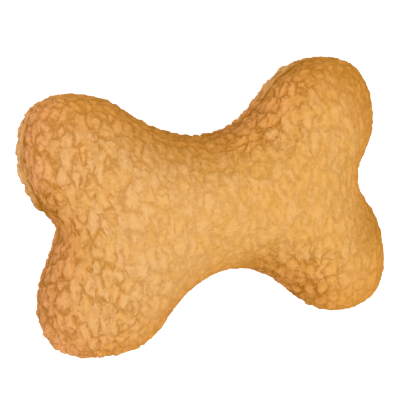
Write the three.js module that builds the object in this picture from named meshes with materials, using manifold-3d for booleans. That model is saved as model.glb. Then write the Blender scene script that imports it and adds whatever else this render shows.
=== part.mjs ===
// Stuffed fleece bone for a dog, with a squeaker in its shaft.
// Millimetres, +Z up. The toy lies on its back panel with its length along X and its width along Y.
// The origin is on the table under the middle of the shaft.

import * as THREE from "three";
import { mergeVertices } from "three/addons/utils/BufferGeometryUtils.js";
import Module from "manifold-3d";

const wasm = await Module();
wasm.setup();

// Bone
const LENGTH = 201; // over the knobs
const WIDTH = 145; // over the knobs
const THICKNESS = 66; // as it lies
const KNOB_RADIUS = 34.5; // in plan
const WAIST = 80; // width at the middle of the shaft
const NOTCH_DEPTH = 15; // dip between the two knobs of an end
const LOFT = 22; // reach of the stuffing's push: a lower value gives flatter tops and steeper sides
const FLAT_DEPTH = 1; // how far the toy's weight flattens its underside

// Fleece and seam
const FLEECE = 3.5; // backing and pile together
const SEAM_ROLL = 3; // height of the widest line above the seam
const SEAM_TUCK = 2; // depth of the seam in its groove
const ALLOWANCE = 6; // width of the seam allowance inside the toy
const ALLOWANCE_THICKNESS = 2; // fleece with its pile pressed flat
const SEAM_LINE = 2.5; // from the inner face of the fleece to the machine stitches
const THREAD = 0.6; // diameter
const TURNING_GAP = 52; // part of the seam that is left open for turning and stuffing
const STITCH = 4; // pitch of the hand stitches that close it

// Squeaker
const BULB_DIAMETER = 46;
const BULB_HEIGHT = 26;
const BULB_WALL = 1;
const BULB_SQUARENESS = 0.82; // 1 gives an ellipse, less gives a flatter top and a fuller rim
const NECK_LENGTH = 3;
const TUBE_DIAMETER = 9; // outside of the whistle's tube
const TUBE_WALL = 1;
const TUBE_LENGTH = 10;
const FLANGE_DIAMETER = 13;
const FLANGE_THICKNESS = 1.2;
const OUTLET = 4; // hole in the flanged end
const REED_WIDTH = 4.4;
const REED_LENGTH = 7.4;
const REED_THICKNESS = 0.3;
const REED_CORNER = 1.2; // rounding of the free end
const CLAMP_LENGTH = 2.4;
const SEAT_LENGTH = 8;
const GROOVE_WIDTH = 1.8; // air channel in the reed's seat
const GROOVE_DEPTH = 1.4;

// Stuffing
const CORE_LENGTH = 116; // the middle wads, along X
const CORE_WIDTH = 124;
const CORE_HEIGHT = 110;
const BED_DIAMETER = 54; // wad under the squeaker
const PRESS_DIAMETER = 36; // wad over the squeaker

// Where the stuffing leans the cover off its pattern: place in shares of the half length and the half width,
// push in shares of LEAN_PUSH, and reach of the push in shares of LEAN_REACH
const LEAN_PUSH = 4;
const LEAN_REACH = 20;
const LEANS = [
  { place: [-0.94, 0.98], push: [-0.2, 0.8], reach: 0.85 },
  { place: [-0.48, 0.95], push: [0, -0.35], reach: 0.8 },
  { place: [-0.26, 0.67], push: [0, 0.6], reach: 0.85 },
  { place: [0.18, 0.58], push: [0, -0.25], reach: 0.7 },
  { place: [0.9, 0.88], push: [0.4, 0.5], reach: 0.8 },
  { place: [0.98, 0.58], push: [-0.3, 0], reach: 0.6 },
  { place: [0.88, -0.19], push: [0.5, 0.1], reach: 0.45 },
  { place: [0.98, -0.52], push: [-0.75, 0], reach: 0.8 },
  { place: [0.84, -0.88], push: [0.3, -0.3], reach: 0.55 },
  { place: [0.44, -0.81], push: [0.15, 0.35], reach: 0.75 },
  { place: [0.1, -0.52], push: [0, 1.05], reach: 0.85 },
  { place: [-0.36, -0.82], push: [0.65, -0.35], reach: 0.65 },
  { place: [-0.72, -1], push: [0, 0.3], reach: 0.75 },
  { place: [-0.98, -0.77], push: [-0.8, -0.55], reach: 0.75 },
  { place: [-0.92, -0.11], push: [-0.4, 0], reach: 0.6 },
  { place: [-0.94, 0.19], push: [-0.45, -0.3], reach: 0.45 },
];

// Lumps of the stuffing under the front: crossed waves with a direction in degrees and a spacing in shares of
// LUMP_SPACING
const LUMP_DEPTH = 1.2;
const LUMP_SPACING = 20;
const LUMP_WAVES = [
  { turn: 20, spacing: 1.35 },
  { turn: 85, spacing: 1.55 },
  { turn: 145, spacing: 1.2 },
];

// Dips of the front where a notch draws it in: place as for the leans, and depth in shares of DIP_DEPTH
const DIP_DEPTH = 2.5;
const DIP_REACH = 9;
const DIPS = [
  { place: [-0.77, -0.07], depth: 1 },
  { place: [0.79, 0.04], depth: 0.6 },
];

const GAP = 0.3; // between pieces that touch

// Grid of a panel: cells along X and along Y
const CELLS_X = 24;
const CELLS_Y = 18;
const CROWDING = 0.25; // 0 spaces the outline's points evenly, 1 crowds them into the knobs' tips
const SOLVER_PASSES = 400;
const OVER_RELAXATION = 1.7;
const THREAD_SIDES = 6;
const THREAD_STEPS = 64;
const ROUND = 28; // sides of a round piece
const BULB_STEPS = 10;
const FAR = 400; // larger than the toy, for the blocks that only cut

const knobX = LENGTH / 2 - KNOB_RADIUS;
const knobY = WIDTH / 2 - KNOB_RADIUS;
const notchX = LENGTH / 2 - NOTCH_DEPTH;
const crown = (THICKNESS + FLAT_DEPTH) / 2; // from the seam to the top of a panel
const seamHeight = THICKNESS - crown; // from the table to the seam

// Outline: four knobs, two waist arcs and two notch arcs, all tangent
const waist = WAIST / 2;
const waistRadius =
  (knobX ** 2 + (waist - knobY) ** 2 - KNOB_RADIUS ** 2) / (2 * (KNOB_RADIUS + knobY - waist));
const waistCentre = waist + waistRadius;
const notchReach = notchX - knobX;
const notchRadius =
  (notchReach ** 2 + knobY ** 2 - KNOB_RADIUS ** 2) / (2 * (KNOB_RADIUS - notchReach));
const notchCentre = notchX + notchRadius;

// The long side, from the tip of the left knob to the tip of the right one
function longSide() {
  const turn = Math.atan2(waistCentre - knobY, knobX);
  const path = new THREE.Path();
  path.absarc(-knobX, knobY, KNOB_RADIUS, 0.75 * Math.PI, turn, true);
  path.absarc(0, waistCentre, waistRadius, turn - Math.PI, -turn, false);
  path.absarc(knobX, knobY, KNOB_RADIUS, Math.PI - turn, 0.25 * Math.PI, true);
  return path;
}

// The right end, from the tip of the near knob to the tip of the far one
function endSide() {
  const turn = Math.atan2(knobY, notchCentre - knobX);
  const path = new THREE.Path();
  path.absarc(knobX, -knobY, KNOB_RADIUS, -0.25 * Math.PI, turn, false);
  path.absarc(notchCentre, 0, notchRadius, turn - Math.PI, Math.PI - turn, true);
  path.absarc(knobX, knobY, KNOB_RADIUS, -turn, 0.25 * Math.PI, false);
  return path;
}

function eased(t) {
  return (1 - Math.cos(Math.PI * t)) / 2;
}

function sidePoints(path, cells) {
  const points = [];
  for (let i = 0; i <= cells; i += 1) {
    const t = i / cells;
    points.push(path.getPoint(CROWDING * eased(t) + (1 - CROWDING) * t));
  }
  return points;
}

// Points of a panel in plan: a patch stretched between the four sides of the outline
function panelPlan() {
  const far = sidePoints(longSide(), CELLS_X);
  const near = far.map((p) => new THREE.Vector2(p.x, -p.y));
  const right = sidePoints(endSide(), CELLS_Y);
  const left = right.map((p) => new THREE.Vector2(-p.x, p.y));
  const points = [];
  for (let i = 0; i <= CELLS_X; i += 1) {
    for (let j = 0; j <= CELLS_Y; j += 1) {
      const u = eased(i / CELLS_X);
      const v = eased(j / CELLS_Y);
      const point = new THREE.Vector2();
      point.addScaledVector(near[i], 1 - v).addScaledVector(far[i], v);
      point.addScaledVector(left[j], 1 - u).addScaledVector(right[j], u);
      point.addScaledVector(near[0], -(1 - u) * (1 - v)).addScaledVector(near[CELLS_X], -u * (1 - v));
      point.addScaledVector(far[0], -(1 - u) * v).addScaledVector(far[CELLS_X], -u * v);
      points.push(point);
    }
  }
  return points;
}

// How much of a push or a dip is felt at a point
function shareAt(point, place, reach) {
  const centre = new THREE.Vector2((place[0] * LENGTH) / 2, (place[1] * WIDTH) / 2);
  return Math.exp(-point.distanceToSquared(centre) / (2 * reach ** 2));
}

// The plan moved by the lean of the stuffing, then fitted to the length and the width
function leaned(points) {
  const moved = points.map((point) => {
    const end = point.clone();
    for (const { place, push, reach } of LEANS) {
      end.addScaledVector(new THREE.Vector2(...push), LEAN_PUSH * shareAt(point, place, reach * LEAN_REACH));
    }
    return end;
  });
  const box = new THREE.Box2().setFromPoints(moved);
  const centre = box.getCenter(new THREE.Vector2());
  const fit = new THREE.Vector2(LENGTH, WIDTH).divide(box.getSize(new THREE.Vector2()));
  return moved.map((end) => end.sub(centre).multiply(fit));
}

// Depth of the front's lumps and dips at a point
function dipAt(point) {
  let sum = 0;
  for (const { turn, spacing } of LUMP_WAVES) {
    const angle = THREE.MathUtils.degToRad(turn);
    const across = point.x * Math.cos(angle) + point.y * Math.sin(angle);
    sum += (LUMP_DEPTH * eased((2 * across) / (spacing * LUMP_SPACING))) / LUMP_WAVES.length;
  }
  for (const { place, depth } of DIPS) {
    sum += depth * DIP_DEPTH * shareAt(point, place, DIP_REACH);
  }
  return sum;
}

function gridIndex(i, j) {
  return i * (CELLS_Y + 1) + j;
}

// Two triangles in each cell, split along its shorter diagonal
function panelTriangles(plan) {
  const triangles = [];
  for (let i = 0; i < CELLS_X; i += 1) {
    for (let j = 0; j < CELLS_Y; j += 1) {
      const a = gridIndex(i, j);
      const b = gridIndex(i + 1, j);
      const c = gridIndex(i + 1, j + 1);
      const d = gridIndex(i, j + 1);
      if (plan[a].distanceTo(plan[c]) < plan[b].distanceTo(plan[d])) {
        triangles.push([a, b, c], [a, c, d]);
      } else {
        triangles.push([a, b, d], [b, c, d]);
      }
    }
  }
  return triangles;
}

// Indices round the edge of the grid, anticlockwise from the middle of the near side
function panelEdge() {
  const edge = [];
  for (let i = 0; i < CELLS_X; i += 1) {
    edge.push(gridIndex(i, 0));
  }
  for (let j = 0; j < CELLS_Y; j += 1) {
    edge.push(gridIndex(CELLS_X, j));
  }
  for (let i = CELLS_X; i > 0; i -= 1) {
    edge.push(gridIndex(i, CELLS_Y));
  }
  for (let j = CELLS_Y; j > 0; j -= 1) {
    edge.push(gridIndex(0, j));
  }
  const half = CELLS_X / 2;
  return [...edge.slice(half), ...edge.slice(0, half)];
}

// Rise of a panel over its edge: an elastic sheet pushed up by the stuffing and held at the seam.
// The sheet's slope at the edge is made upright by taking the root.
function panelRise(plan, triangles, edge) {
  const links = plan.map(() => new Map());
  const areas = plan.map(() => 0);
  for (const triangle of triangles) {
    for (let k = 0; k < 3; k += 1) {
      const [at, next, last] = [triangle[k], triangle[(k + 1) % 3], triangle[(k + 2) % 3]];
      const first = plan[next].clone().sub(plan[at]);
      const second = plan[last].clone().sub(plan[at]);
      const doubleArea = first.cross(second);
      const pull = first.dot(second) / doubleArea / 2;
      links[next].set(last, (links[next].get(last) ?? 0) + pull);
      links[last].set(next, (links[last].get(next) ?? 0) + pull);
      areas[at] += doubleArea / 6;
    }
  }
  const held = new Set(edge);
  const push = plan.map(() => 0);
  for (let pass = 0; pass < SOLVER_PASSES; pass += 1) {
    for (let at = 0; at < plan.length; at += 1) {
      if (held.has(at)) {
        continue;
      }
      let sum = areas[at];
      let weight = areas[at] / LOFT ** 2;
      for (const [other, pull] of links[at]) {
        sum += pull * push[other];
        weight += pull;
      }
      push[at] += OVER_RELAXATION * (sum / weight - push[at]);
    }
  }
  const most = Math.max(...push);
  return push.map((p) => Math.sqrt(p / most));
}

const plan = leaned(panelPlan());
const triangles = panelTriangles(plan);
const edge = panelEdge();
const rise = panelRise(plan, triangles, edge);
const inside = new Map(edge.map((at, place) => [at, place]));

// The outline moved inwards by a distance
function insetLoop(distance) {
  const outline = edge.map((at) => plan[at]);
  return outline.map((point, k) => {
    const before = outline[(k + outline.length - 1) % outline.length];
    const after = outline[(k + 1) % outline.length];
    const along = point.clone().sub(before).normalize().add(after.clone().sub(point).normalize());
    const inwards = new THREE.Vector2(-along.y, along.x).normalize();
    return point.clone().addScaledVector(inwards, distance);
  });
}

function geometryFrom(points, faces) {
  const geometry = new THREE.BufferGeometry();
  geometry.setAttribute("position", new THREE.Float32BufferAttribute(points.flat(), 3));
  geometry.setIndex(faces.flat());
  return geometry;
}

// Outer face of a panel from its heights as shares of the highest, and its normals
function domeFrom(heights) {
  const points = plan.map((p, at) => [p.x, p.y, SEAM_ROLL + (crown - SEAM_ROLL) * heights[at]]);
  const surface = geometryFrom(points, triangles);
  surface.computeVertexNormals();
  return { points, normals: surface.getAttribute("normal") };
}

const lumpy = plan.map((point, at) => rise[at] * (1 - dipAt(point) / crown));
const highest = Math.max(...lumpy);
const frontDome = domeFrom(lumpy.map((height) => height / highest));
const backDome = domeFrom(rise);

// The face that lies a depth under a panel's outer one. Its edge is at a given height over the seam.
function facePoints({ points, normals }, depth, edgeHeight) {
  const loop = insetLoop(depth);
  return points.map(([x, y, z], at) => {
    if (inside.has(at)) {
      const foot = loop[inside.get(at)];
      return [foot.x, foot.y, edgeHeight];
    }
    return [x - depth * normals.getX(at), y - depth * normals.getY(at), z - depth * normals.getZ(at)];
  });
}

// A band of triangles between two loops of equal count
function bandFaces(from, to) {
  const faces = [];
  for (let k = 0; k < from.length; k += 1) {
    const next = (k + 1) % from.length;
    faces.push([from[k], to[k], from[next]], [from[next], to[k], to[next]]);
  }
  return faces;
}

// A panel: outer face, roll into the seam's groove, seam allowance, inner face
function panelGeometry(dome) {
  const points = [...dome.points];
  const faces = [...triangles];
  function addLoop(distance, height) {
    const first = points.length;
    points.push(...insetLoop(distance).map((p) => [p.x, p.y, height]));
    return edge.map((at, k) => first + k);
  }
  const seam = addLoop(SEAM_TUCK, GAP / 2);
  const under = addLoop(FLEECE + ALLOWANCE, GAP / 2);
  const over = addLoop(FLEECE + ALLOWANCE, GAP / 2 + ALLOWANCE_THICKNESS);
  const first = points.length;
  points.push(...facePoints(dome, FLEECE, GAP / 2 + ALLOWANCE_THICKNESS));
  faces.push(...triangles.map(([a, b, c]) => [first + a, first + c, first + b]));
  const foot = edge.map((at) => first + at);
  faces.push(...bandFaces(edge, seam), ...bandFaces(seam, under));
  faces.push(...bandFaces(under, over), ...bandFaces(over, foot));
  return geometryFrom(points, faces);
}

// The room inside both panels, which the stuffing fills
function roomGeometry() {
  const front = facePoints(frontDome, FLEECE + GAP, 0);
  const back = facePoints(backDome, FLEECE + GAP, 0);
  const points = [...front, ...back.map(([x, y, z]) => [x, y, -z])];
  const below = (at) => (inside.has(at) ? at : at + front.length);
  const faces = [...triangles, ...triangles.map(([a, b, c]) => [below(a), below(c), below(b)])];
  return geometryFrom(points, faces);
}

function mirrored(geometry) {
  const copy = geometry.clone().scale(1, 1, -1);
  const index = copy.getIndex().array;
  for (let k = 0; k < index.length; k += 3) {
    [index[k + 1], index[k + 2]] = [index[k + 2], index[k + 1]];
  }
  return copy;
}

// Joins and cuts
function solidFrom(geometry) {
  const bare = geometry.clone();
  for (const name of Object.keys(bare.attributes)) {
    if (name !== "position") {
      bare.deleteAttribute(name);
    }
  }
  const merged = mergeVertices(bare, 1e-4);
  const index = merged.getIndex().array;
  const corners = [];
  for (let k = 0; k < index.length; k += 3) {
    const [a, b, c] = [index[k], index[k + 1], index[k + 2]];
    if (a !== b && b !== c && c !== a) {
      corners.push(a, b, c);
    }
  }
  const mesh = new wasm.Mesh({
    numProp: 3,
    vertProperties: new Float32Array(merged.getAttribute("position").array),
    triVerts: new Uint32Array(corners),
  });
  return new wasm.Manifold(mesh);
}

function geometryOf(solid) {
  const mesh = solid.getMesh();
  const geometry = new THREE.BufferGeometry();
  geometry.setAttribute("position", new THREE.Float32BufferAttribute(mesh.vertProperties, 3));
  geometry.setIndex(Array.from(mesh.triVerts));
  return geometry;
}

function block(x0, x1, y0, y1, z0, z1) {
  const geometry = new THREE.BoxGeometry(x1 - x0, y1 - y0, z1 - z0);
  return solidFrom(geometry.translate((x0 + x1) / 2, (y0 + y1) / 2, (z0 + z1) / 2));
}

// An upright prism of a closed loop
function prism(loop, z0, z1) {
  const shape = new THREE.Shape(loop);
  const geometry = new THREE.ExtrudeGeometry(shape, { depth: z1 - z0, bevelEnabled: false });
  return solidFrom(geometry.translate(0, 0, z0));
}

function disc(diameter, z0, z1) {
  const geometry = new THREE.CylinderGeometry(diameter / 2, diameter / 2, z1 - z0, ROUND);
  return solidFrom(geometry.rotateX(Math.PI / 2).translate(0, 0, (z0 + z1) / 2));
}

// A turned piece about Z, from a profile of radius and height
function turned(profile) {
  const points = profile.map(([radius, height]) => new THREE.Vector2(radius, height));
  return new THREE.LatheGeometry(points, ROUND).rotateX(Math.PI / 2);
}

// Squeaker, with its bulb centred on the seam
const bulbHalf = BULB_HEIGHT / 2;
const neckRadius = TUBE_DIAMETER / 2 + GAP + BULB_WALL;
const lip = -bulbHalf - NECK_LENGTH;
const flangeTop = lip - GAP;
const flangeBottom = flangeTop - FLANGE_THICKNESS;
const tubeTop = flangeTop + TUBE_LENGTH;

// Profile of the bulb and its neck, from the top to the lip. A growth moves it outwards.
function bulbProfile(growth) {
  const radius = BULB_DIAMETER / 2 + growth;
  const height = bulbHalf + growth;
  const neck = neckRadius + growth;
  const start = Math.PI / 2;
  const end = -Math.acos((neck / radius) ** (1 / BULB_SQUARENESS));
  const points = [[0, height]];
  for (let k = 1; k <= BULB_STEPS; k += 1) {
    const angle = start + ((end - start) * k) / BULB_STEPS;
    const across = radius * Math.cos(angle) ** BULB_SQUARENESS;
    const up = Math.sign(angle) * height * Math.abs(Math.sin(angle)) ** BULB_SQUARENESS;
    points.push([across, up]);
  }
  return points;
}

function bulbGeometry() {
  const outer = [...bulbProfile(0), [neckRadius, lip]];
  const inner = [...bulbProfile(-BULB_WALL), [neckRadius - BULB_WALL, lip]];
  return turned([...inner, ...outer.reverse()]);
}

// Space that the squeaker takes up in the stuffing
function squeakerRoom() {
  const bottom = lip - GAP;
  const profile = [...bulbProfile(GAP), [neckRadius + GAP, bottom], [0, bottom]];
  const bulb = solidFrom(turned(profile.reverse()));
  const flange = disc(FLANGE_DIAMETER + 2 * GAP, flangeBottom - GAP, lip);
  return bulb.add(flange);
}

function whistleGeometry() {
  const bore = TUBE_DIAMETER / 2 - TUBE_WALL;
  return turned([
    [OUTLET / 2, flangeBottom],
    [FLANGE_DIAMETER / 2, flangeBottom],
    [FLANGE_DIAMETER / 2, flangeTop],
    [TUBE_DIAMETER / 2, flangeTop],
    [TUBE_DIAMETER / 2, tubeTop],
    [bore, tubeTop],
    [bore, flangeTop],
    [OUTLET / 2, flangeTop],
    [OUTLET / 2, flangeBottom],
  ]);
}

// Half a plug of the whistle's bore, on the near side of the reed
function halfPlug(length) {
  const radius = TUBE_DIAMETER / 2 - TUBE_WALL - GAP;
  const face = REED_THICKNESS / 2 + GAP;
  const turn = Math.asin(face / radius);
  const shape = new THREE.Shape();
  shape.absarc(0, 0, radius, Math.PI + turn, 2 * Math.PI - turn, false);
  return new THREE.ExtrudeGeometry(shape, { depth: length, bevelEnabled: false, curveSegments: 18 });
}

const seatBottom = flangeTop + GAP;
const seatTop = seatBottom + SEAT_LENGTH;
const clampBottom = seatTop - CLAMP_LENGTH;

function seatGeometry() {
  const face = -REED_THICKNESS / 2 - GAP;
  const plug = solidFrom(halfPlug(SEAT_LENGTH).translate(0, 0, seatBottom));
  const half = GROOVE_WIDTH / 2;
  return geometryOf(plug.subtract(block(-half, half, face - GROOVE_DEPTH, FAR, -FAR, clampBottom)));
}

function clampGeometry() {
  return halfPlug(CLAMP_LENGTH).rotateZ(Math.PI).translate(0, 0, clampBottom);
}

// A flat tongue that hangs from the clamp, with its free end rounded at the corners
function reedGeometry() {
  const half = REED_WIDTH / 2;
  const shape = new THREE.Shape();
  shape.moveTo(half, 0);
  shape.lineTo(-half, 0);
  shape.lineTo(-half, REED_CORNER - REED_LENGTH);
  shape.absarc(REED_CORNER - half, REED_CORNER - REED_LENGTH, REED_CORNER, Math.PI, 1.5 * Math.PI, false);
  shape.absarc(half - REED_CORNER, REED_CORNER - REED_LENGTH, REED_CORNER, 1.5 * Math.PI, 2 * Math.PI, false);
  const options = { depth: REED_THICKNESS, bevelEnabled: false, curveSegments: 6 };
  const strip = new THREE.ExtrudeGeometry(shape, options).rotateX(Math.PI / 2);
  return strip.translate(0, REED_THICKNESS / 2, seatTop);
}

// Threads
function threadGeometry(points, steps) {
  const section = new THREE.Shape();
  for (let k = 0; k < THREAD_SIDES; k += 1) {
    const angle = (2 * Math.PI * k) / THREAD_SIDES;
    const corner = [(THREAD / 2) * Math.cos(angle), (THREAD / 2) * Math.sin(angle)];
    if (k === 0) {
      section.moveTo(...corner);
    } else {
      section.lineTo(...corner);
    }
  }
  const extrudePath = new THREE.CatmullRomCurve3(points);
  return new THREE.ExtrudeGeometry(section, { steps, extrudePath });
}

// Machine thread along the allowance, open at the turning gap
const machineHeight = GAP / 2 + ALLOWANCE_THICKNESS + GAP + THREAD / 2;

function machineThread() {
  const loop = insetLoop(FLEECE + SEAM_LINE).slice(1);
  const points = loop.map((p) => new THREE.Vector3(p.x, p.y, machineHeight));
  const half = TURNING_GAP / 2;
  const opening = block(-half, half, -FAR, 0, -FAR, FAR);
  return geometryOf(solidFrom(threadGeometry(points, THREAD_STEPS)).subtract(opening));
}

// Hand stitches across the seam's groove: along one fold, over to the other, along that one
function closingThread() {
  const inset = SEAM_TUCK / 3;
  const open = 1 - (inset + THREAD / 2) / SEAM_TUCK;
  const height = GAP / 2 + (SEAM_ROLL - GAP / 2) * open - THREAD / 2 - 1.3 * GAP;
  const loop = insetLoop(inset);
  const half = CELLS_X / 2;
  const groove = new THREE.Path([...loop.slice(-half), ...loop.slice(0, half + 1)]);
  const rungs = Math.round(TURNING_GAP / STITCH);
  const points = [];
  for (let k = 0; k <= rungs; k += 1) {
    const along = TURNING_GAP * (k / rungs - 0.5);
    const at = groove.getPoint(0.5 + along / groove.getLength());
    const side = k % 2 === 0 ? 1 : -1;
    points.push(new THREE.Vector3(at.x, at.y, -side * height), new THREE.Vector3(at.x, at.y, side * height));
  }
  return threadGeometry(points, 2 * points.length);
}

// Stuffing
const slotHalf = machineHeight + THREAD / 2 + GAP; // room for the allowances and their thread
const allowanceEnd = insetLoop(FLEECE + ALLOWANCE + GAP);
const slot = prism(insetLoop(0), -slotHalf, slotHalf).subtract(prism(allowanceEnd, -FAR, FAR));
const room = solidFrom(roomGeometry()).subtract(slot).subtract(squeakerRoom());
const table = block(-FAR, FAR, -FAR, FAR, -FAR, -seamHeight);
const bedRoom = disc(BED_DIAMETER + 2 * GAP, -FAR, GAP / 2);
const pressRoom = disc(PRESS_DIAMETER + 2 * GAP, 0, FAR);

function core(growth) {
  const ball = new THREE.SphereGeometry(1, 24, 16);
  ball.scale(CORE_LENGTH / 2 + growth, CORE_WIDTH / 2 + growth, CORE_HEIGHT / 2 + growth);
  return solidFrom(ball);
}

const middle = room.intersect(core(0));
const ends = room.subtract(core(GAP));

function quarter(sideX, sideY) {
  const x = sideX > 0 ? [GAP / 2, FAR] : [-FAR, -GAP / 2];
  const y = sideY > 0 ? [GAP / 2, FAR] : [-FAR, -GAP / 2];
  return block(...x, ...y, -FAR, FAR);
}

function knobWad(sideX, sideY) {
  return geometryOf(ends.intersect(quarter(sideX, sideY)));
}

function shaftWad(side) {
  const half = side > 0 ? [GAP / 2, FAR] : [-FAR, -GAP / 2];
  const wad = middle.intersect(block(...half, -FAR, FAR, -FAR, FAR));
  return geometryOf(wad.subtract(bedRoom).subtract(pressRoom));
}

const bedWad = geometryOf(middle.intersect(disc(BED_DIAMETER, -FAR, -GAP / 2)));
const pressWad = geometryOf(middle.intersect(disc(PRESS_DIAMETER, GAP, FAR)));

// Pieces
const fleece = { color: 0xdd9f56, roughness: 0.95, metalness: 0 };
const cotton = { color: 0xb87830, roughness: 0.8, metalness: 0 };
const fibre = { color: 0xf2f0ea, roughness: 0.9, metalness: 0 };
const softPlastic = { color: 0xf4f3ee, roughness: 0.45, metalness: 0 };
const hardPlastic = { color: 0xfafafa, roughness: 0.3, metalness: 0 };
const film = { color: 0xe6e8ea, roughness: 0.2, metalness: 0 };

function piece(name, geometry, look) {
  geometry.computeVertexNormals();
  const mesh = new THREE.Mesh(geometry, new THREE.MeshStandardMaterial(look));
  mesh.name = name;
  return mesh;
}

const front = panelGeometry(frontDome);
const back = geometryOf(solidFrom(mirrored(panelGeometry(backDome))).subtract(table));
const thread = machineThread();

const cover = new THREE.Group();
cover.add(piece("front_panel", front, fleece));
cover.add(piece("back_panel", back, fleece));
cover.add(piece("needle_thread", thread, cotton));
cover.add(piece("bobbin_thread", mirrored(thread), cotton));
cover.add(piece("closing_thread", closingThread(), cotton));

const stuffing = new THREE.Group();
stuffing.add(piece("fill_knob_left_near", knobWad(-1, -1), fibre));
stuffing.add(piece("fill_knob_left_far", knobWad(-1, 1), fibre));
stuffing.add(piece("fill_knob_right_near", knobWad(1, -1), fibre));
stuffing.add(piece("fill_knob_right_far", knobWad(1, 1), fibre));
stuffing.add(piece("fill_shaft_left", shaftWad(-1), fibre));
stuffing.add(piece("fill_shaft_right", shaftWad(1), fibre));
stuffing.add(piece("fill_under_squeaker", bedWad, fibre));
stuffing.add(piece("fill_over_squeaker", pressWad, fibre));

const squeaker = new THREE.Group();
squeaker.add(piece("squeaker_bulb", bulbGeometry(), softPlastic));
squeaker.add(piece("whistle_body", whistleGeometry(), hardPlastic));
squeaker.add(piece("reed_seat", seatGeometry(), hardPlastic));
squeaker.add(piece("reed_clamp", clampGeometry(), hardPlastic));
squeaker.add(piece("reed", reedGeometry(), film));

const toy = new THREE.Group();
toy.position.z = seamHeight;
toy.add(cover, stuffing, squeaker);

export default toy;
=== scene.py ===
"""Fleece bone for a dog: curly cover, sewn seam, stuffing, squeaker and the photo's stage."""

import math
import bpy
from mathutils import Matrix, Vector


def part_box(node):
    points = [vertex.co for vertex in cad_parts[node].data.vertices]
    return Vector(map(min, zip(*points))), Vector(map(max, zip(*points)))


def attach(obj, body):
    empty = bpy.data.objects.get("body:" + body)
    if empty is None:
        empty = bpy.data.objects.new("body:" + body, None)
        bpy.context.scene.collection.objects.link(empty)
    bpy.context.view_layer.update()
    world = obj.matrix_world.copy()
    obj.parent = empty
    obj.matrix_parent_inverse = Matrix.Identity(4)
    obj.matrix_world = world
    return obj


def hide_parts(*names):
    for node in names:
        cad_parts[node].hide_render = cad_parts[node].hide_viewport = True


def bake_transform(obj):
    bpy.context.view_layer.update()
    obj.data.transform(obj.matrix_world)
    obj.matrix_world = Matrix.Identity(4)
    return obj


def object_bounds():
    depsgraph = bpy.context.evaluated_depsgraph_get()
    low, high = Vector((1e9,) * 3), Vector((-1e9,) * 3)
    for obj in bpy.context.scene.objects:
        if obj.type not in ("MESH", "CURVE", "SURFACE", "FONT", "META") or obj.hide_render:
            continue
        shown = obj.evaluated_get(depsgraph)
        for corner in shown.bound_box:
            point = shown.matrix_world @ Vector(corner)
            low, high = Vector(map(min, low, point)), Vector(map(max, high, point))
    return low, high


bl_info = {
    "name": "Fleece Bone",
    "version": (1, 0, 0),
    "blender": (4, 5, 0),
    "location": "3D View > Sidebar > Fleece Bone",
    "description": "Dresses a stuffed squeaky bone with curly fleece, seams, wadding and a squeaker",
    "category": "Object",
}

import bmesh
import bpy
import numpy as np
from mathutils import Matrix, Vector

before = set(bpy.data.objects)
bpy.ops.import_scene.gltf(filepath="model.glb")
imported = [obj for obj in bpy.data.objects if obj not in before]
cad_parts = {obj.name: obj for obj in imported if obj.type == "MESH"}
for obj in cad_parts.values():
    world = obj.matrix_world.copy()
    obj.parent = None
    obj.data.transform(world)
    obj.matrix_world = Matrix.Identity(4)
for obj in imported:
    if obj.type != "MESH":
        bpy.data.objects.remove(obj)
cad_low, cad_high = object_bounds()

# The panels meet at the seam with this gap between them, and the pile stays this far above the floor
SEAM_GAP = 0.0003
FLOOR_GAP = 0.0003
seam_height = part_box("front_panel")[0].z - SEAM_GAP / 2
bulb_low, bulb_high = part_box("squeaker_bulb")

# Patterns are given in waves per millimetre
TO_MILLIMETRES = 1000.0

# Cells of a panel's dome, its points, how far they crowd towards the tips of the knobs, and how often the
# cells are divided
CELLS_X = 40
CELLS_Y = 28
DOME_POINTS = (CELLS_X + 1) * (CELLS_Y + 1)
CROWDING = 0.35
SMOOTHING = 3

# Turns at which a panel's roll into the seam has a ring of points, in degrees
ROLL_TURNS = (50.0, 90.0)

# Edge of a panel's inner face: inset in shares of the backing, height in shares of the seam roll
LINING_INSET = 1.2
LINING_HEIGHT = 1.6

# Material slot of the knitted backing on a panel
BACKING_SLOT = 1

# The cover as cloth while the stuffing swells it, the share of its height that it starts from, and how many
# frames it swells for
CLOTH = {
    "quality": 8,
    "mass": 0.1,
    "tension_stiffness": 1.5,
    "compression_stiffness": 1.5,
    "shear_stiffness": 0.75,
    "bending_stiffness": 0.5,
    "use_pressure": True,
    "uniform_pressure_force": 8.0,
}
START_HEIGHT = 0.97
SWELL_FRAMES = 25

# Where the stuffing leans the cover off its pattern: place in shares of the half length and the half width,
# push, and reach of the push
LEANS = (
    ((-0.94, 0.98), (-0.0008, 0.0032), 0.017),
    ((-0.48, 0.95), (0.0, -0.0014), 0.016),
    ((-0.26, 0.67), (0.0, 0.0024), 0.017),
    ((0.18, 0.58), (0.0, -0.0010), 0.014),
    ((0.90, 0.88), (0.0016, 0.0020), 0.016),
    ((0.98, 0.58), (-0.0012, 0.0), 0.012),
    ((0.88, -0.19), (0.0020, 0.0004), 0.009),
    ((0.98, -0.52), (-0.0030, 0.0), 0.016),
    ((0.84, -0.88), (0.0012, -0.0012), 0.011),
    ((0.44, -0.81), (0.0006, 0.0014), 0.015),
    ((0.10, -0.52), (0.0, 0.0042), 0.017),
    ((-0.36, -0.82), (0.0026, -0.0014), 0.013),
    ((-0.72, -1.00), (0.0, 0.0012), 0.015),
    ((-0.98, -0.77), (-0.0032, -0.0022), 0.015),
    ((-0.92, -0.11), (-0.0016, 0.0), 0.012),
    ((-0.94, 0.19), (-0.0018, -0.0012), 0.009),
)

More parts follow.
